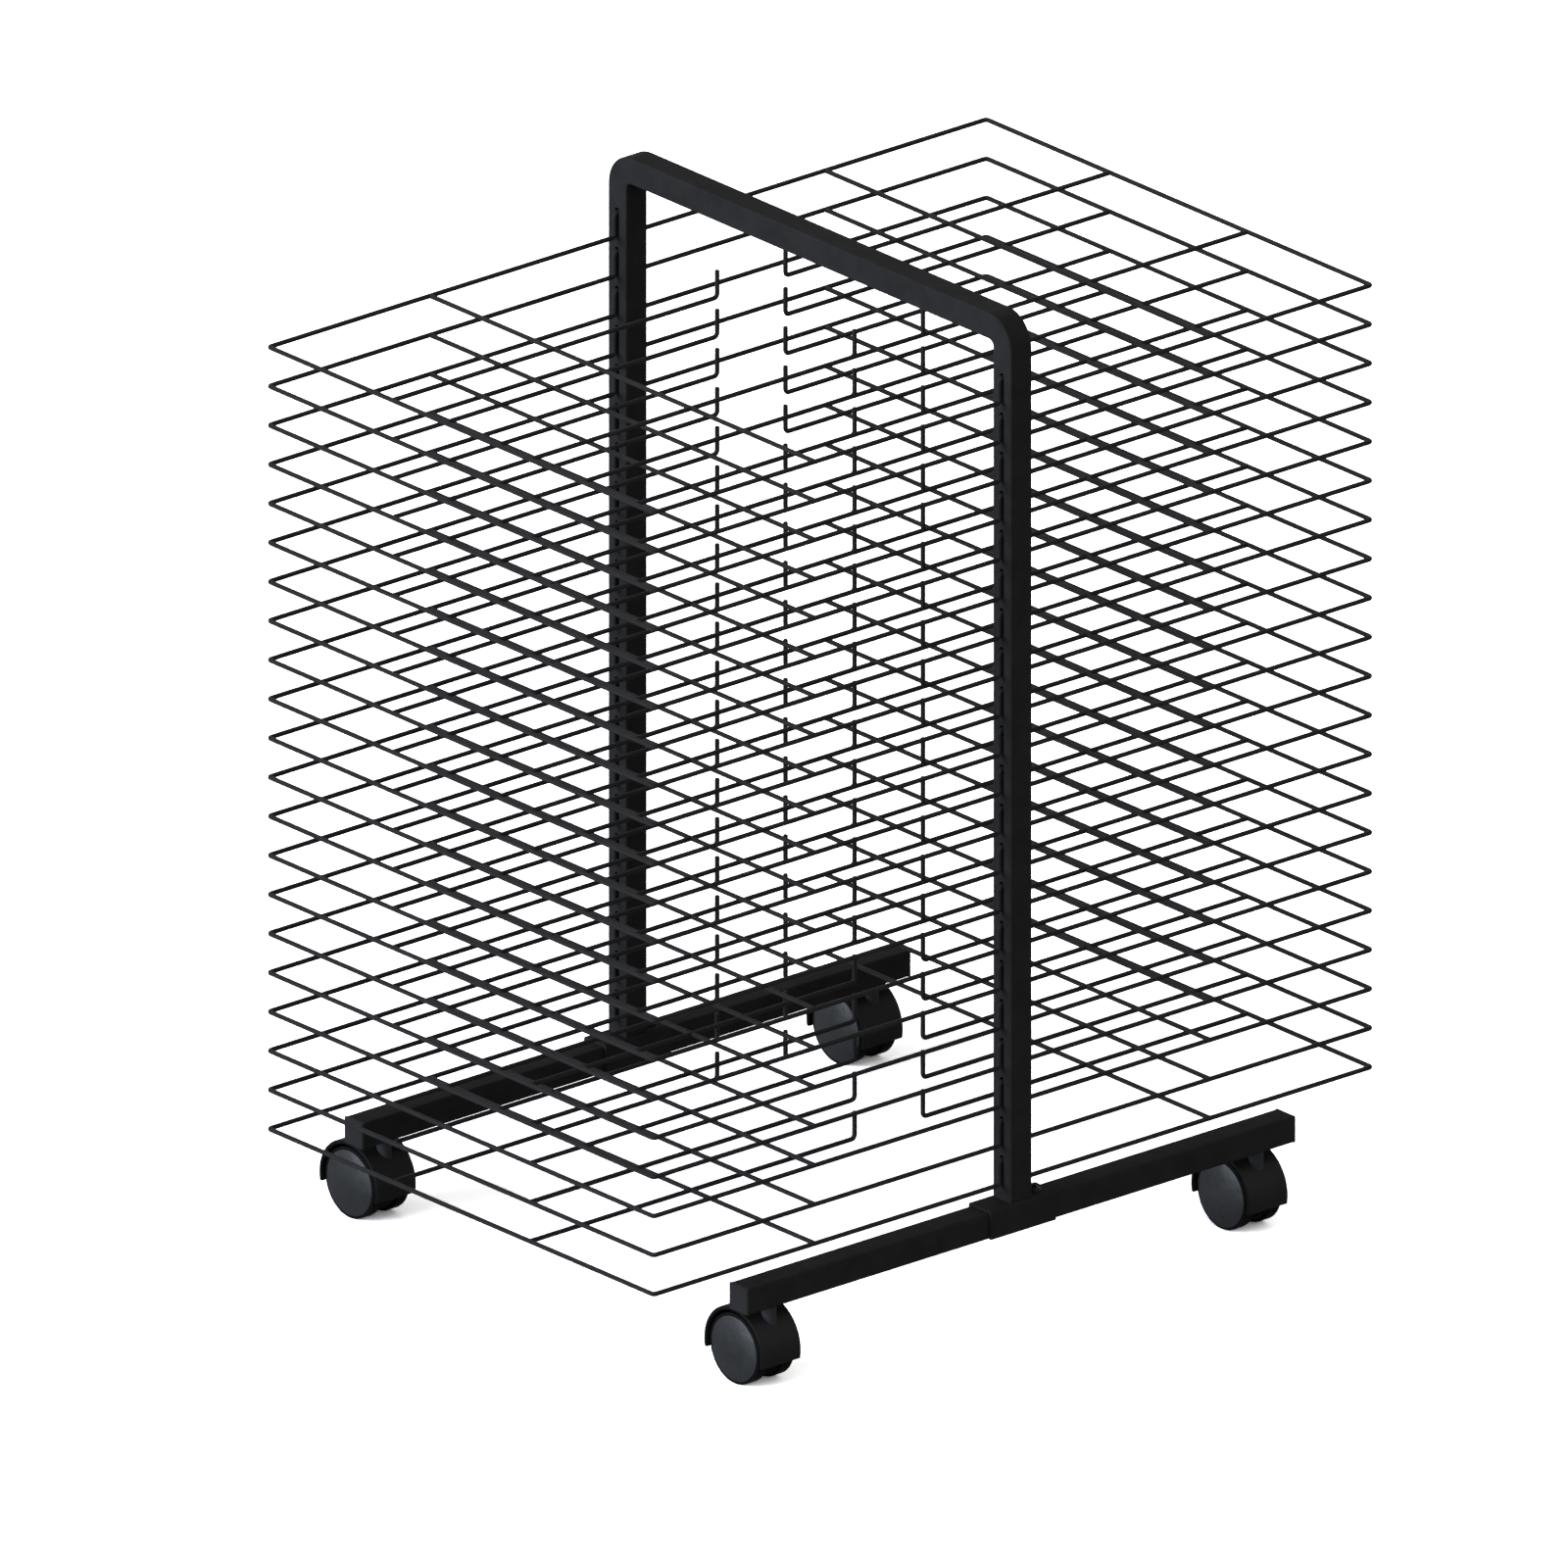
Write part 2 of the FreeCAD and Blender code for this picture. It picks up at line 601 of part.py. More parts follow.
def make_housing():
    """Nylon hood over both wheels, with the web between them and the boss for the stem.

    Its own origin is the middle of the axle.
    """
    overcut, trail = size("overcut"), size("caster_trail")
    half_width = WHEEL_FACE - size("hood_setback")
    width = half_width * 2
    outer = cylinder("hood_outside", HOOD_RADIUS, width, y=-half_width, along="y")
    inner_radius = HOOD_RADIUS - size("hood_wall")
    inner = cylinder(
        "hood_inside", inner_radius, width + overcut * 2, y=-half_width - overcut, along="y"
    )
    ring = cut("hood_ring", outer, inner)
    rounded = treat_edges(
        "Part::Fillet",
        "hood_rims",
        ring,
        size("hood_edge_radius"),
        lambda edge: is_circle(edge, HOOD_RADIUS),
    )
    web_radius = HOOD_RADIUS - size("hood_wall") / 2
    web = cylinder(
        "hood_web", web_radius, size("web_thickness"), y=-size("web_thickness") / 2, along="y"
    )
    length, low = HOOD_RADIUS * 2 + overcut * 2, -HOOD_RADIUS - size("hood_skirt")
    below = box("below_skirt", length, width + overcut * 2, HOOD_RADIUS, z=low)
    hood = cut("hood", fuse("hood_and_web", [rounded, web]), below)

    flange_bottom = size("bar_underside_height") - size("stem_flange_thickness")
    boss_top = flange_bottom - size("boss_gap") - size("wheel_radius")
    pin_bottom = flange_bottom - size("stem_pin_length") - size("wheel_radius")
    bore_bottom = pin_bottom - size("bore_end_gap")
    boss_bottom = bore_bottom - size("boss_floor")
    boss = cylinder("stem_boss", size("boss_radius"), boss_top - boss_bottom, x=trail, z=boss_bottom)
    groove_low = pin_bottom + size("snap_setback")
    bore_radius = STEM_RADIUS + size("swivel_clearance")
    end_gap = size("bore_end_gap")
    depth = boss_top - bore_bottom + overcut
    stem_bore = cylinder("stem_hole", bore_radius, depth, x=trail, z=bore_bottom)
    play = size("snap_play")
    bead_radius = STEM_RADIUS - size("snap_depth") + play
    bead_height = size("snap_width") - play * 2
    ring_radius = bore_radius + overcut
    bead_ring = cylinder("stem_bead_ring", ring_radius, bead_height, x=trail, z=groove_low + play)
    bead_core = cylinder("stem_bead_core", bead_radius, bead_height, x=trail, z=groove_low + play)
    bead = cut("stem_bead", bead_ring, bead_core)
    bore = cut("stem_bore", stem_bore, bead)
    axle_hole = cylinder(
        "axle_hole",
        size("axle_radius"),
        size("web_thickness") + overcut * 2,
        y=-size("web_thickness") / 2 - overcut,
        along="y",
    )
    solid = fuse("housing_solid", [hood, boss])
    return cut("housing", solid, fuse("housing_bores", [bore, axle_hole]))


def axle_grooves():
    """Where the axle's snap groove starts and ends, from its middle."""
    outer = size("axle_length") / 2 - size("snap_setback")
    return outer - size("snap_width"), outer


def make_axle():
    """Steel pin pressed through the web, with a snap groove for each wheel."""
    half, radius = size("axle_length") / 2, size("axle_radius")
    low, high = axle_grooves()
    groove = radius - size("snap_depth")
    sides = [
        ("y", -half),
        ("x", radius),
        ("y", -high),
        ("x", groove),
        ("y", -low),
        ("x", radius),
        ("y", low),
        ("x", groove),
        ("y", high),
        ("x", radius),
        ("y", half),
        ("x", ZERO),
    ]
    return revolved("axle", sides, "XY_Plane", "Y_Axis")


def make_wheel():
    """One of a caster's two wheels: closed domed face outwards, hollow towards the web.

    It sits on the +Y side of the housing's web, with the middle of the axle as its origin.
    """
    radius, play = size("wheel_radius"), size("snap_play")
    low, high = axle_grooves()
    bore = size("axle_radius") + size("axle_clearance")
    bead = size("axle_radius") - size("snap_depth") + play
    bore_end = size("axle_length") / 2 + size("bore_end_gap")
    face_edge = WHEEL_FACE - size("wheel_dome")
    groove_outer = radius - size("wheel_groove_inset")
    sides = [
        ("x", bore),
        ("y", low + play),
        ("x", bead),
        ("y", high - play),
        ("x", bore),
        ("y", bore_end),
        ("x", ZERO),
        ("y", WHEEL_FACE),
        ("x", groove_outer - size("wheel_groove_width")),
        ("y", face_edge - size("wheel_groove_depth")),
        ("x", groove_outer),
        ("y", WHEEL_FACE),
        ("x", radius),
        ("y", WHEEL_START),
        ("x", radius - size("wheel_rim")),
        ("y", face_edge - size("wheel_disc")),
        ("x", HUB_RADIUS),
        ("y", size("web_thickness") / 2 + size("hub_gap")),
    ]
    turned = revolved("wheel_turned_body", sides, "XY_Plane", "Y_Axis")
    rise = size("wheel_dome")
    dome_radius = (radius * radius + rise * rise) / (rise * 2)
    ball = doc.addObject("Part::Sphere", "wheel_face_ball")
    bind(ball, "Radius", dome_radius)
    bind_place(ball, ZERO, WHEEL_FACE - dome_radius, ZERO)
    domed = common("wheel_domed", turned, ball)
    return treat_edges(
        "Part::Fillet",
        "wheel",
        domed,
        size("wheel_tread_radius"),
        lambda edge: is_circle(edge, radius),
    )


def make_casters():
    make_caster_stems()
    housing, axle, wheel = make_housing(), make_axle(), make_wheel()
    trail, height = size("caster_trail"), size("wheel_radius")
    for name, x, y in CASTER_PLACES:
        make_node(f"caster_housing_{name}", [housing, axle], x - trail, y, height)
        make_node(f"caster_wheel_{name}_1", [wheel], x - trail, y, height, turn=180)
        make_node(f"caster_wheel_{name}_2", [wheel], x - trail, y, height)


# --- wire shelves --------------------------------------------------------------------


def bent_wire(name, points, radii):
    """A round wire along straight runs that bend at each inner point."""
    edges, start = [], points[0]
    for point, following, radius in zip(points[1:], points[2:], radii):
        back, ahead = (start - point).normalize(), (following - point).normalize()
        arc_start, arc_end = point + back * radius, point + ahead * radius
        inward = (back + ahead).normalize()
        arc_middle = point + inward * radius * (math.sqrt(2) - 1)
        edges.append(Part.LineSegment(start, arc_start).toShape())
        edges.append(Part.Arc(arc_start, arc_middle, arc_end).toShape())
        start = arc_end
    edges.append(Part.LineSegment(start, points[-1]).toShape())
    path = Part.Wire(edges)
    section = Part.Circle(points[0], points[1] - points[0], WIRE_RADIUS.number).toShape()
    wire = doc.addObject("Part::Feature", name)
    wire.Shape = path.makePipeShell([Part.Wire(section)], True, False)
    wire.Placement = Placement()
    expected = math.pi * WIRE_RADIUS.number**2 * path.Length
    if abs(wire.Shape.Volume / expected - 1) > 0.001:
        raise RuntimeError(f"{name}: its volume is not its section times its length")
    return wire


def make_outer_wire():
    """The shelf's outer wire: hook, leg, run, outer edge, run, leg and hook."""
    half = HALF_SPACING.number
    leg_y = (-HALF_TUBE - size("hook_gap") - WIRE_RADIUS).number
    hook_end_y = (size("hook_reach") - HALF_TUBE).number
    rise = size("hook_rise").number
    edge_y = -size("shelf_reach").number
    bend, corner = size("wire_bend_radius").number, size("shelf_corner_radius").number
    side = [(hook_end_y, rise), (leg_y, rise), (leg_y, 0), (edge_y, 0)]
    points = [Vector(half, y, z) for y, z in side]
    points += [Vector(-half, y, z) for y, z in reversed(side)]
    return bent_wire("shelf_outer_wire", points, [bend, bend, corner, corner, bend, bend])


def make_stop_wire():
    """An inner wire: welded to the outer edge wire, its inner end turned up as a paper stop."""
    setback = -size("stop_setback").number
    outer_end = -(size("shelf_reach") - WIRE_RADIUS + size("weld_sink")).number
    rise = size("stop_rise").number
    points = [Vector(0, setback, rise), Vector(0, setback, 0), Vector(0, outer_end, 0)]
    wire = bent_wire("shelf_stop_wire", points, [size("wire_bend_radius").number])

    def on_tip(edge):
        return is_circle(edge, WIRE_RADIUS) and near(edge.CenterOfMass.z, rise)

    return treat_edges(
        "Part::Fillet", "shelf_stop_wire_tipped", wire, size("stop_tip_radius"), on_tip
    )


def make_cross_wire(name, start, end):
    """A straight wire between two long wires, butt-welded to both, level with them."""
    lap = size("weld_sink") - WIRE_RADIUS
    y = size("cross_wire_inset") - size("shelf_reach")
    return cylinder(name, WIRE_RADIUS, end - start + lap * 2, x=start - lap, y=y, along="x")


def make_shelves():
    """Wire shelves on each side: an outer wire, two stop wires and three cross wires each."""
    outer, stop = make_outer_wire(), make_stop_wire()
    half_stops = size("stop_wire_spacing") / 2
    wires = [
        outer,
        place_copy("shelf_stop_wire_left", [stop], x=-half_stops),
        place_copy("shelf_stop_wire_right", [stop], x=half_stops),
        make_cross_wire("shelf_cross_wire_left", -HALF_SPACING, -half_stops),
        make_cross_wire("shelf_cross_wire_middle", -half_stops, half_stops),
        make_cross_wire("shelf_cross_wire_right", half_stops, HALF_SPACING),
    ]
    for tier in range(int(size("tier_count").number)):
        height = BOTTOM_TIER + TIER_PITCH * tier
        make_node(f"shelf_front_{tier + 1:02d}", wires, HOOP_X, z=height)
        make_node(f"shelf_back_{tier + 1:02d}", wires, HOOP_X, z=height, turn=180)


# --- build, check and write ----------------------------------------------------------


def check():
    """Stop if any object failed or any sub-part has no sound shape."""
    for thing in doc.Objects:
        if {"Invalid", "Error"} & set(thing.State):
            raise RuntimeError(f"{thing.Name} is {thing.State}")
    for part in nodes:
        if part.Shape.isNull() or not part.Shape.isValid():
            raise RuntimeError(f"{part.Label} has no valid shape")


def write():
    os.makedirs("parts", exist_ok=True)
    for part in nodes:
        part.Shape.exportStep(f"parts/{part.Label}.step")


make_hoop()
make_foot_bars()
make_foot_brackets()
make_bracket_screws()
make_end_caps()
make_casters()
make_shelves()
doc.recompute()
check()
write()
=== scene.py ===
import json
import math

import bpy
from mathutils import Matrix, Vector

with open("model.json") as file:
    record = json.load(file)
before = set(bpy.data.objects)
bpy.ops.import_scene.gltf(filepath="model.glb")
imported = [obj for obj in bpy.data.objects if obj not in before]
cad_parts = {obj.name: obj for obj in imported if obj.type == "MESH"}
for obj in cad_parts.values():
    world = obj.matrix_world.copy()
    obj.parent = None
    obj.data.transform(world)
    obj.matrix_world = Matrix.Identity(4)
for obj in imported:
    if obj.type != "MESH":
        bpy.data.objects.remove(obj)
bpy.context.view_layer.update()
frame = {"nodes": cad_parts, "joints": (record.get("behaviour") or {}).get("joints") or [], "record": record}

# Art drying rack: looks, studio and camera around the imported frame. Metres, +Z up.
# Every solid of the frame stays as it is, and gets a procedural material.

MM = 0.001
WHITE = (1.0, 1.0, 1.0)


# --- places on the rack --------------------------------------------------------------

JOINT_PLACE = {joint["name"]: Vector(joint["pos_m"]) for joint in frame["joints"]}
LEFT_SWIVEL = JOINT_PLACE["caster_front_left_swivel"]
RIGHT_SWIVEL = JOINT_PLACE["caster_front_right_swivel"]
RIGHT_AXLE = JOINT_PLACE["caster_wheel_front_right_1_spin"]

HOOP_X = (LEFT_SWIVEL.x + RIGHT_SWIVEL.x) / 2
HALF_SPACING = (RIGHT_SWIVEL.x - LEFT_SWIVEL.x) / 2
SWIVEL_Y = abs(RIGHT_SWIVEL.y)
AXLE_X = RIGHT_AXLE.x
AXLE_HEIGHT = RIGHT_AXLE.z


# --- shader helpers ------------------------------------------------------------------


class Graph:
    """The node tree of a material or world, with short calls to add nodes and link them."""

    def __init__(self, owner, output="ShaderNodeOutputMaterial"):
        owner.use_nodes = True
        self.owner = owner
        self.tree = owner.node_tree
        self.tree.nodes.clear()
        self.output = self.add(output)

    def add(self, kind, links=None, values=None, **settings):
        node = self.tree.nodes.new(kind)
        for name, value in settings.items():
            setattr(node, name, value)
        for socket, value in (values or {}).items():
            node.inputs[socket].default_value = value
        for socket, source in (links or {}).items():
            self.tree.links.new(source, node.inputs[socket])
        return node

    def show(self, shader, output):
        """End the tree with a shader, and return the material or world it belongs to."""
        self.tree.links.new(shader.outputs[output], self.output.inputs["Surface"])
        return self.owner

    def place(self):
        """The point in the CAD frame, which stays with its piece when the piece moves."""
        return self.add("ShaderNodeTexCoord").outputs["Object"]

    def coordinates(self):
        return self.add("ShaderNodeSeparateXYZ", links={"Vector": self.place()}).outputs

    def noise(self, per_metre, detail=2.0, roughness=0.5):
        return self.add(
            "ShaderNodeTexNoise",
            links={"Vector": self.place()},
            values={"Scale": per_metre, "Detail": detail, "Roughness": roughness},
        ).outputs["Fac"]

    def spread(self, source, low, high, start=0.3, end=0.7):
        """Map start to end, a noise's usual span, onto low to high."""
        return self.add(
            "ShaderNodeMapRange",
            links={"Value": source},
            values={"From Min": start, "From Max": end, "To Min": low, "To Max": high},
        ).outputs["Result"]

    def blend(self, factor, one, other):
        """A colour between two, or between a colour and another node's colour."""
        node = self.add("ShaderNodeMix", links={"Factor": factor}, data_type="RGBA")
        for socket, colour in (("A", one), ("B", other)):
            target = [s for s in node.inputs if s.name == socket and s.type == "RGBA"][0]
            if isinstance(colour, (tuple, list)):
                target.default_value = (*colour, 1.0)
            else:
                self.tree.links.new(colour, target)
        return [s for s in node.outputs if s.type == "RGBA"][0]

    def calculate(self, operation, *terms):
        """A Math node on numbers and other nodes' outputs."""
        node = self.add("ShaderNodeMath", operation=operation)
        for socket, term in zip(node.inputs, terms):
            if isinstance(term, (int, float)):
                socket.default_value = term
            else:
                self.tree.links.new(term, socket)
        return node.outputs["Value"]

    def length(self, across, along):
        joined = self.add("ShaderNodeCombineXYZ", links={"X": across, "Y": along})
        links = {"Vector": joined.outputs["Vector"]}
        return self.add("ShaderNodeVectorMath", links=links, operation="LENGTH").outputs["Value"]

    def from_axle(self):
        """The distance from the axle of whichever caster the point belongs to."""
        point = self.coordinates()
        across = self.calculate("SUBTRACT", self.calculate("ABSOLUTE", point["X"]), AXLE_X)
        return self.length(across, self.calculate("SUBTRACT", point["Z"], AXLE_HEIGHT))

    def from_swivel(self):
        """The distance from the swivel of whichever caster the point belongs to."""
        point = self.coordinates()
        middle = self.calculate("SUBTRACT", point["X"], HOOP_X)
        across = self.calculate("SUBTRACT", self.calculate("ABSOLUTE", middle), HALF_SPACING)
        along = self.calculate("SUBTRACT", self.calculate("ABSOLUTE", point["Y"]), SWIVEL_Y)
        return self.length(across, along)

    def bump(self, height, strength, distance, base=None):
        links = {"Height": height}
        if base is not None:
            links["Normal"] = base
        values = {"Strength": strength, "Distance": distance}
        return self.add("ShaderNodeBump", links=links, values=values).outputs["Normal"]

    def surface(self, links, values):
        return self.show(self.add("ShaderNodeBsdfPrincipled", links=links, values=values), "BSDF")


def new_material(name):
    return Graph(bpy.data.materials.new(name))


# --- powder coat ---------------------------------------------------------------------

COAT_MOTTLE_PER_METRE = 60.0
ORANGE_PEEL = 1.6 * MM
ORANGE_PEEL_DEPTH = 0.12 * MM
COAT_SPECK = 0.35 * MM
COAT_SPECK_DEPTH = 0.03 * MM
SPECK_LIGHTER = 1.8


def powder_coat(name, dark, light, specular, rough):
    """Satin black powder coat: orange peel, fine specks and slow changes of tone."""
    g = new_material(name)
    mottle = g.noise(COAT_MOTTLE_PER_METRE, detail=3.0, roughness=0.55)
    peel = g.noise(1 / ORANGE_PEEL, detail=2.0, roughness=0.45)
    grain = g.noise(1 / COAT_SPECK, detail=1.0)
    tone = g.blend(g.spread(mottle, 0.0, 1.0), dark, light)
    speck = g.spread(grain, 0.0, 0.2, start=0.62, end=0.75)
    tone = g.blend(speck, tone, tuple(channel * SPECK_LIGHTER for channel in light))
    normal = g.bump(peel, strength=0.22, distance=ORANGE_PEEL_DEPTH)
    normal = g.bump(grain, strength=0.12, distance=COAT_SPECK_DEPTH, base=normal)
    return g.surface(
        {
            "Base Color": tone,
            "Roughness": g.spread(peel, low=rough - 0.05, high=rough + 0.06),
            "Normal": normal,
        },
        {"Specular IOR Level": specular, "Metallic": 0.0},
    )


# --- moulded plastic -----------------------------------------------------------------

FLOW_MARKS_PER_METRE = 45.0
SPARK_GRAIN_DEPTH = 0.05 * MM

# the wheels' faces
FACE_EDGE = (24.2 * MM, 24.6 * MM)
FACE_TINT = (0.95, 0.99, 1.0)
# partly painted shade: the wheel's own black rim, darkened to near-black for the shade in the groove at the
# face's edge
WHEEL_RIM_BLACK_AND_SHADE = (0.006, 0.006, 0.006)
RIM_SPECULAR = 0.02
SINK_MARK = 9.0 * MM
SINK_MARK_DEPTH = 0.3 * MM

# the hoods: painted shade on the rims and under the foot bar, painted light on the boss
# painted shade: the near-black of the hood's rims
HOOD_RIM_PAINTED_SHADE = (0.004, 0.004, 0.004)
HOOD_RIM_SHADE_FACING = (0.5, 0.8)
# painted shadow: the top of the hood darkens towards the foot bar above it
CROWN_PAINTED_SHADOW = (0.005, 0.005, 0.005)
CROWN_SHADOW_HEIGHT = (50 * MM, 58 * MM)
CROWN_SHADOW_STRENGTH = 0.85
# painted light: where the lit tone of the round boss fades out
BOSS_PAINTED_LIGHT_EDGE = (5.5 * MM, 6.0 * MM)


def flow_marks(g, dark, light):
    """The slow noise of the flow marks, and the tone that it gives."""
    flow = g.noise(FLOW_MARKS_PER_METRE, detail=4.0, roughness=0.6)
    return flow, g.blend(g.spread(flow, 0.0, 1.0), dark, light)


def finish_plastic(g, tone, flow, specular, rough, grain, base=None, tint=WHITE):
    """Fine spark-eroded grain over a tone. Specular is a number or a node's output."""
    texture = g.noise(1 / grain, detail=2.0, roughness=0.6)
    links = {
        "Base Color": tone,
        "Roughness": g.spread(flow, low=rough - 0.04, high=rough + 0.05),
        "Normal": g.bump(texture, strength=0.25, distance=SPARK_GRAIN_DEPTH, base=base),
    }
    values = {"Metallic": 0.0, "Specular Tint": (*tint, 1.0)}
    specular_goes_to = values if isinstance(specular, float) else links
    specular_goes_to["Specular IOR Level"] = specular
    return g.surface(links, values)


def moulded_plastic(name, dark, light, specular, rough, grain):
    """Black moulded plastic with slight flow marks."""
    g = new_material(name)
    flow, tone = flow_marks(g, dark, light)
    return finish_plastic(g, tone, flow, specular, rough, grain)


def wheel_plastic(name, dark, light, specular, rough, grain):
    """The wheels' plastic: a polished face with slight sink marks within a black, dull rim, made near-black
    as painted shade.
    """
    g = new_material(name)
    flow, tone = flow_marks(g, dark, light)
    radius = g.from_axle()
    # painted shade over the wheel's own black: beyond the face's edge the rim goes near-black
    tone = g.blend(g.spread(radius, 0.0, 1.0, *FACE_EDGE), tone, WHEEL_RIM_BLACK_AND_SHADE)
    shine = g.spread(radius, specular, RIM_SPECULAR, *FACE_EDGE)
    waves = g.noise(1 / SINK_MARK, detail=3.0, roughness=0.55)
    sunk = g.bump(waves, strength=1.0, distance=SINK_MARK_DEPTH)
    return finish_plastic(g, tone, flow, shine, rough, grain, base=sunk, tint=FACE_TINT)


def hood_plastic(name, dark, light, boss, specular, rough, grain):
    """The housings' plastic, with painted shade and light: near-black on the hood's rims and its top under
    the foot bar, and a paler, lit tone on the round boss.
    """
    g = new_material(name)
    flow, tone = flow_marks(g, dark, light)
    # painted shade: faces turned along the axle (the hood's rims and the web between the wheels) go
    # near-black
    facing = g.add("ShaderNodeTexCoord").outputs["Normal"]
    sideways = g.add("ShaderNodeSeparateXYZ", links={"Vector": facing}).outputs["Y"]
    rim = g.spread(g.calculate("ABSOLUTE", sideways), 0.0, 1.0, *HOOD_RIM_SHADE_FACING)
    tone = g.blend(rim, tone, HOOD_RIM_PAINTED_SHADE)
    # painted shadow: the top of the hood darkens towards the foot bar above it
    crown_shadow = g.spread(g.coordinates()["Z"], 0.0, CROWN_SHADOW_STRENGTH, *CROWN_SHADOW_HEIGHT)
    tone = g.blend(crown_shadow, tone, CROWN_PAINTED_SHADOW)
    # painted light: a paler, bluish lit tone on the round boss, fading out past its edge
    tone = g.blend(g.spread(g.from_swivel(), 1.0, 0.0, *BOSS_PAINTED_LIGHT_EDGE), tone, boss)
    return finish_plastic(g, tone, flow, specular, rough, grain)


# --- blackened steel -----------------------------------------------------------------

CLOUD_PER_METRE = 220.0
TURNING_MARK = 0.5 * MM
TURNING_MARK_DEPTH = 0.02 * MM


def black_steel(name, dark, light, rough):
    """Blackened steel: partly metallic, with fine turning marks and an uneven finish."""
    g = new_material(name)
    cloud = g.noise(CLOUD_PER_METRE, detail=3.0)
    marks = g.noise(1 / TURNING_MARK, detail=2.0)
    return g.surface(
        {
            "Base Color": g.blend(g.spread(cloud, 0.0, 1.0), dark, light),
            "Roughness": g.spread(cloud, low=rough - 0.06, high=rough + 0.08),
            "Normal": g.bump(marks, strength=0.15, distance=TURNING_MARK_DEPTH),
        },
        {"Metallic": 0.3, "Specular IOR Level": 0.1},
    )


# --- finishes of the rack ------------------------------------------------------------


def make_materials():
    """The finish of each of the record's material slots."""
    return {
        "frame_powder_coat": powder_coat(
            "frame_powder_coat",
            dark=(0.0175, 0.0175, 0.0178),
            light=(0.0228, 0.0228, 0.0232),
            specular=0.006,
            rough=0.5,
        ),
        "wire_powder_coat": powder_coat(
            "wire_powder_coat",
            dark=(0.0165, 0.0165, 0.0167),
            light=(0.0215, 0.0215, 0.0218),
            specular=0.04,
            rough=0.48,
        ),
        "cap_plastic": moulded_plastic(
            "cap_plastic",
            dark=(0.0185, 0.0187, 0.019),
            light=(0.0225, 0.0227, 0.0232),
            specular=0.04,
            rough=0.5,
            grain=0.5 * MM,
        ),
        "hood_nylon": hood_plastic(
            "hood_nylon",
            dark=(0.0145, 0.0145, 0.0142),
            light=(0.0185, 0.0185, 0.0182),
            # painted light: the bluish lit tone of the round boss
            boss=(0.034, 0.036, 0.04),
            specular=0.05,
            rough=0.45,
            grain=0.6 * MM,
        ),
        "wheel_nylon": wheel_plastic(
            "wheel_nylon",
            dark=(0.006, 0.007, 0.0076),
            light=(0.0105, 0.0116, 0.0122),
            specular=0.55,
            rough=0.36,
            grain=0.6 * MM,
        ),
        "black_steel": black_steel(
            "black_steel",
            dark=(0.006, 0.006, 0.0065),
            light=(0.014, 0.014, 0.015),
            rough=0.42,
        ),
    }


def dress_nodes():
    """Give every CAD node the finish of its material slot."""
    materials = make_materials()
    slots = {part["node"]: part["material_slot"] for part in frame["record"]["subparts"]}
    for name, node in frame["nodes"].items():
        for slot in node.material_slots:
            slot.link = "OBJECT"
            slot.material = materials[slots[name]]


# --- camera --------------------------------------------------------------------------

CAMERA_AZIMUTH = math.radians(49.37)
CAMERA_ELEVATION = math.radians(21.7)
CAMERA_DISTANCE = 4.0
CAMERA_NEAR = 0.05
CAMERA_FAR = 40.0
VIEW_WIDTH = 1.1144

# the middle of the picture, from the foot of the hoop's centre line
FRAMING_ACROSS = -0.0256
FRAMING_UP = 0.3132


def direction(azimuth, elevation):
    """Towards a camera or light. Azimuth 0 is in front, at -Y, and 90 degrees is at +X."""
    return Vector(
        (
            math.sin(azimuth) * math.cos(elevation),
            -math.cos(azimuth) * math.cos(elevation),
            math.sin(elevation),
        )
    )


def make_camera():
    """A parallel view of the rack, from in front to its right and from above."""
    across = Vector((math.cos(CAMERA_AZIMUTH), math.sin(CAMERA_AZIMUTH), 0.0))
    back = direction(CAMERA_AZIMUTH, CAMERA_ELEVATION)
    up = back.cross(across)
    data = bpy.data.cameras.new("camera")
    data.type = "ORTHO"
    data.ortho_scale = VIEW_WIDTH
    data.clip_start = CAMERA_NEAR
    data.clip_end = CAMERA_FAR
    camera = bpy.data.objects.new("camera", data)
    bpy.context.collection.objects.link(camera)
    target = Vector((HOOP_X, 0.0, 0.0)) + across * FRAMING_ACROSS + up * FRAMING_UP
    turn = Matrix((across, up, back)).transposed().to_4x4()
    camera.matrix_world = Matrix.Translation(target + back * CAMERA_DISTANCE) @ turn
    bpy.context.scene.camera = camera


# --- lights and background -----------------------------------------------------------

LIGHT_DISTANCE = 3.0
WORLD_LEVEL = 0.35
WORLD_SEEN = 1.0


def make_sun(name, azimuth, elevation, spread, level, colour):
    """A soft light from far away. At level 1 a white face turned to it is just white."""
    towards_light = direction(math.radians(azimuth), math.radians(elevation))
    data = bpy.data.lights.new(name, "SUN")
    data.angle = math.radians(spread)
    data.energy = level * math.pi
    data.color = colour
    light = bpy.data.objects.new(name, data)
    bpy.context.collection.objects.link(light)
    light.rotation_mode = "QUATERNION"
    light.rotation_quaternion = towards_light.to_track_quat("Z", "Y")
    light.location = towards_light * LIGHT_DISTANCE


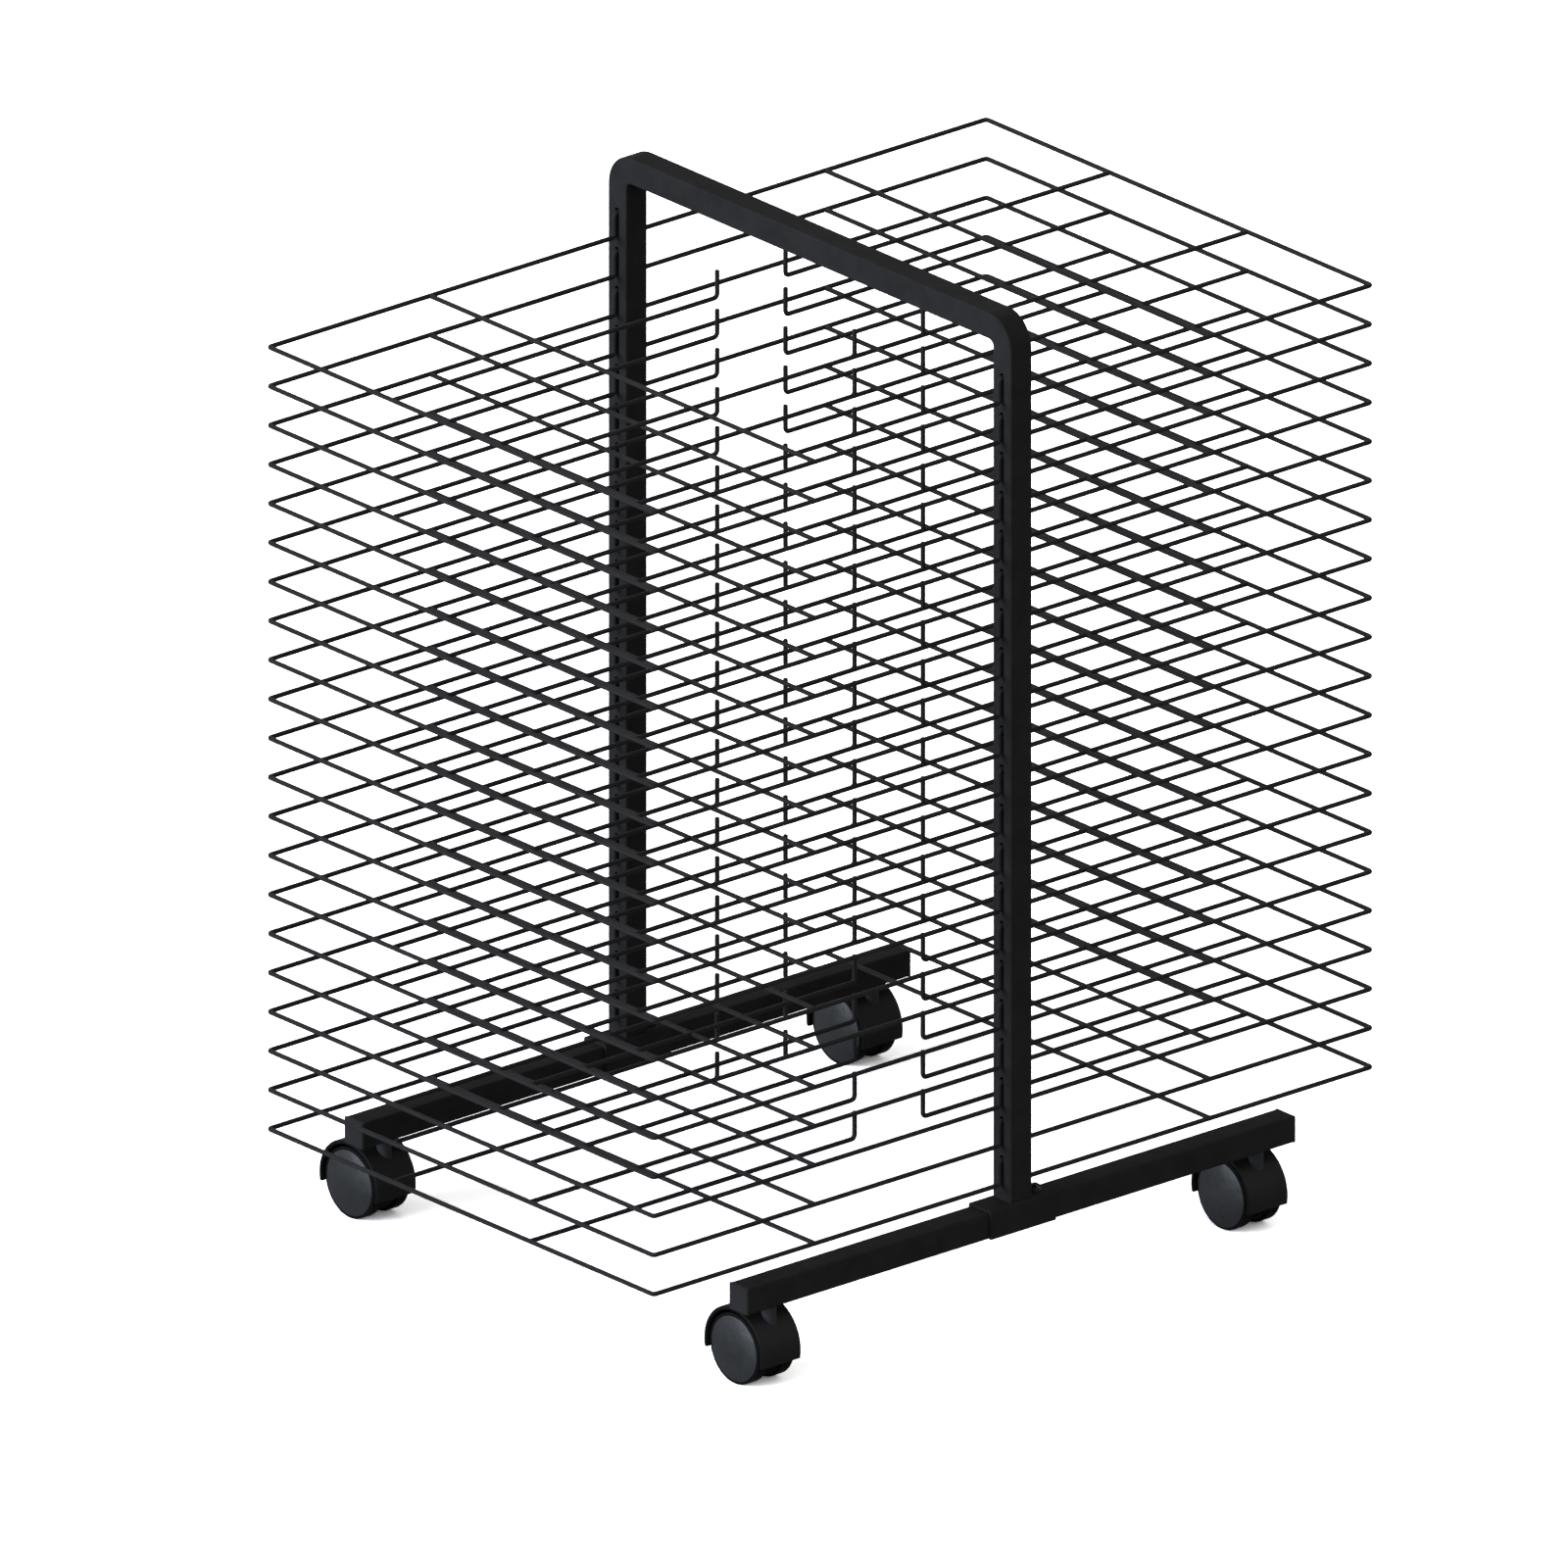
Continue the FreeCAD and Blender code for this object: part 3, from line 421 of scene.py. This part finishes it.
def seen_directly(g):
    """1 for rays that show the background as such: camera, mirror and glass rays."""
    path = g.add("ShaderNodeLightPath").outputs
    total = path["Is Camera Ray"]
    for name in ("Is Glossy Ray", "Is Transmission Ray"):
        total = g.calculate("MAXIMUM", total, path[name])
    return total


def make_world():
    """A white background that lights the rack only dimly."""
    world = bpy.data.worlds.new("studio")
    bpy.context.scene.world = world
    g = Graph(world, "ShaderNodeOutputWorld")
    white = (*WHITE, 1.0)
    ambient = g.add("ShaderNodeBackground", values={"Color": white, "Strength": WORLD_LEVEL})
    seen = g.add("ShaderNodeBackground", values={"Color": white, "Strength": WORLD_SEEN})
    backgrounds = {1: ambient.outputs["Background"], 2: seen.outputs["Background"]}
    links = {"Fac": seen_directly(g), **backgrounds}
    g.show(g.add("ShaderNodeMixShader", links=links), "Shader")


# --- floor ---------------------------------------------------------------------------

FLOOR_SIZE = 60.0
FLOOR_SEEN = (3.5, 3.5, 3.5)
FLOOR_BOUNCE = (0.4, 0.4, 0.4)


def make_floor():
    """A white floor: seen by the camera it clips to white, except in the contact shadows."""
    half = FLOOR_SIZE / 2
    mesh = bpy.data.meshes.new("floor")
    corners = [(-half, -half, 0), (half, -half, 0), (half, half, 0), (-half, half, 0)]
    mesh.from_pydata(corners, [], [(0, 1, 2, 3)])
    floor = bpy.data.objects.new("floor", mesh)
    bpy.context.collection.objects.link(floor)
    g = new_material("floor")
    path = g.add("ShaderNodeLightPath").outputs["Is Camera Ray"]
    colour = g.blend(path, FLOOR_BOUNCE, FLOOR_SEEN)
    mesh.materials.append(g.show(g.add("ShaderNodeBsdfDiffuse", links={"Color": colour}), "BSDF"))


# --- the scene -----------------------------------------------------------------------

dress_nodes()
make_camera()
make_sun("key", azimuth=-15.0, elevation=11.0, spread=36.0, level=1.52, colour=(0.84, 0.885, 1.0))
make_sun("fill", azimuth=100.0, elevation=35.0, spread=70.0, level=0.15, colour=(1.0, 0.97, 0.93))
make_world()
make_floor()
bpy.context.scene.view_settings.view_transform = "Standard"
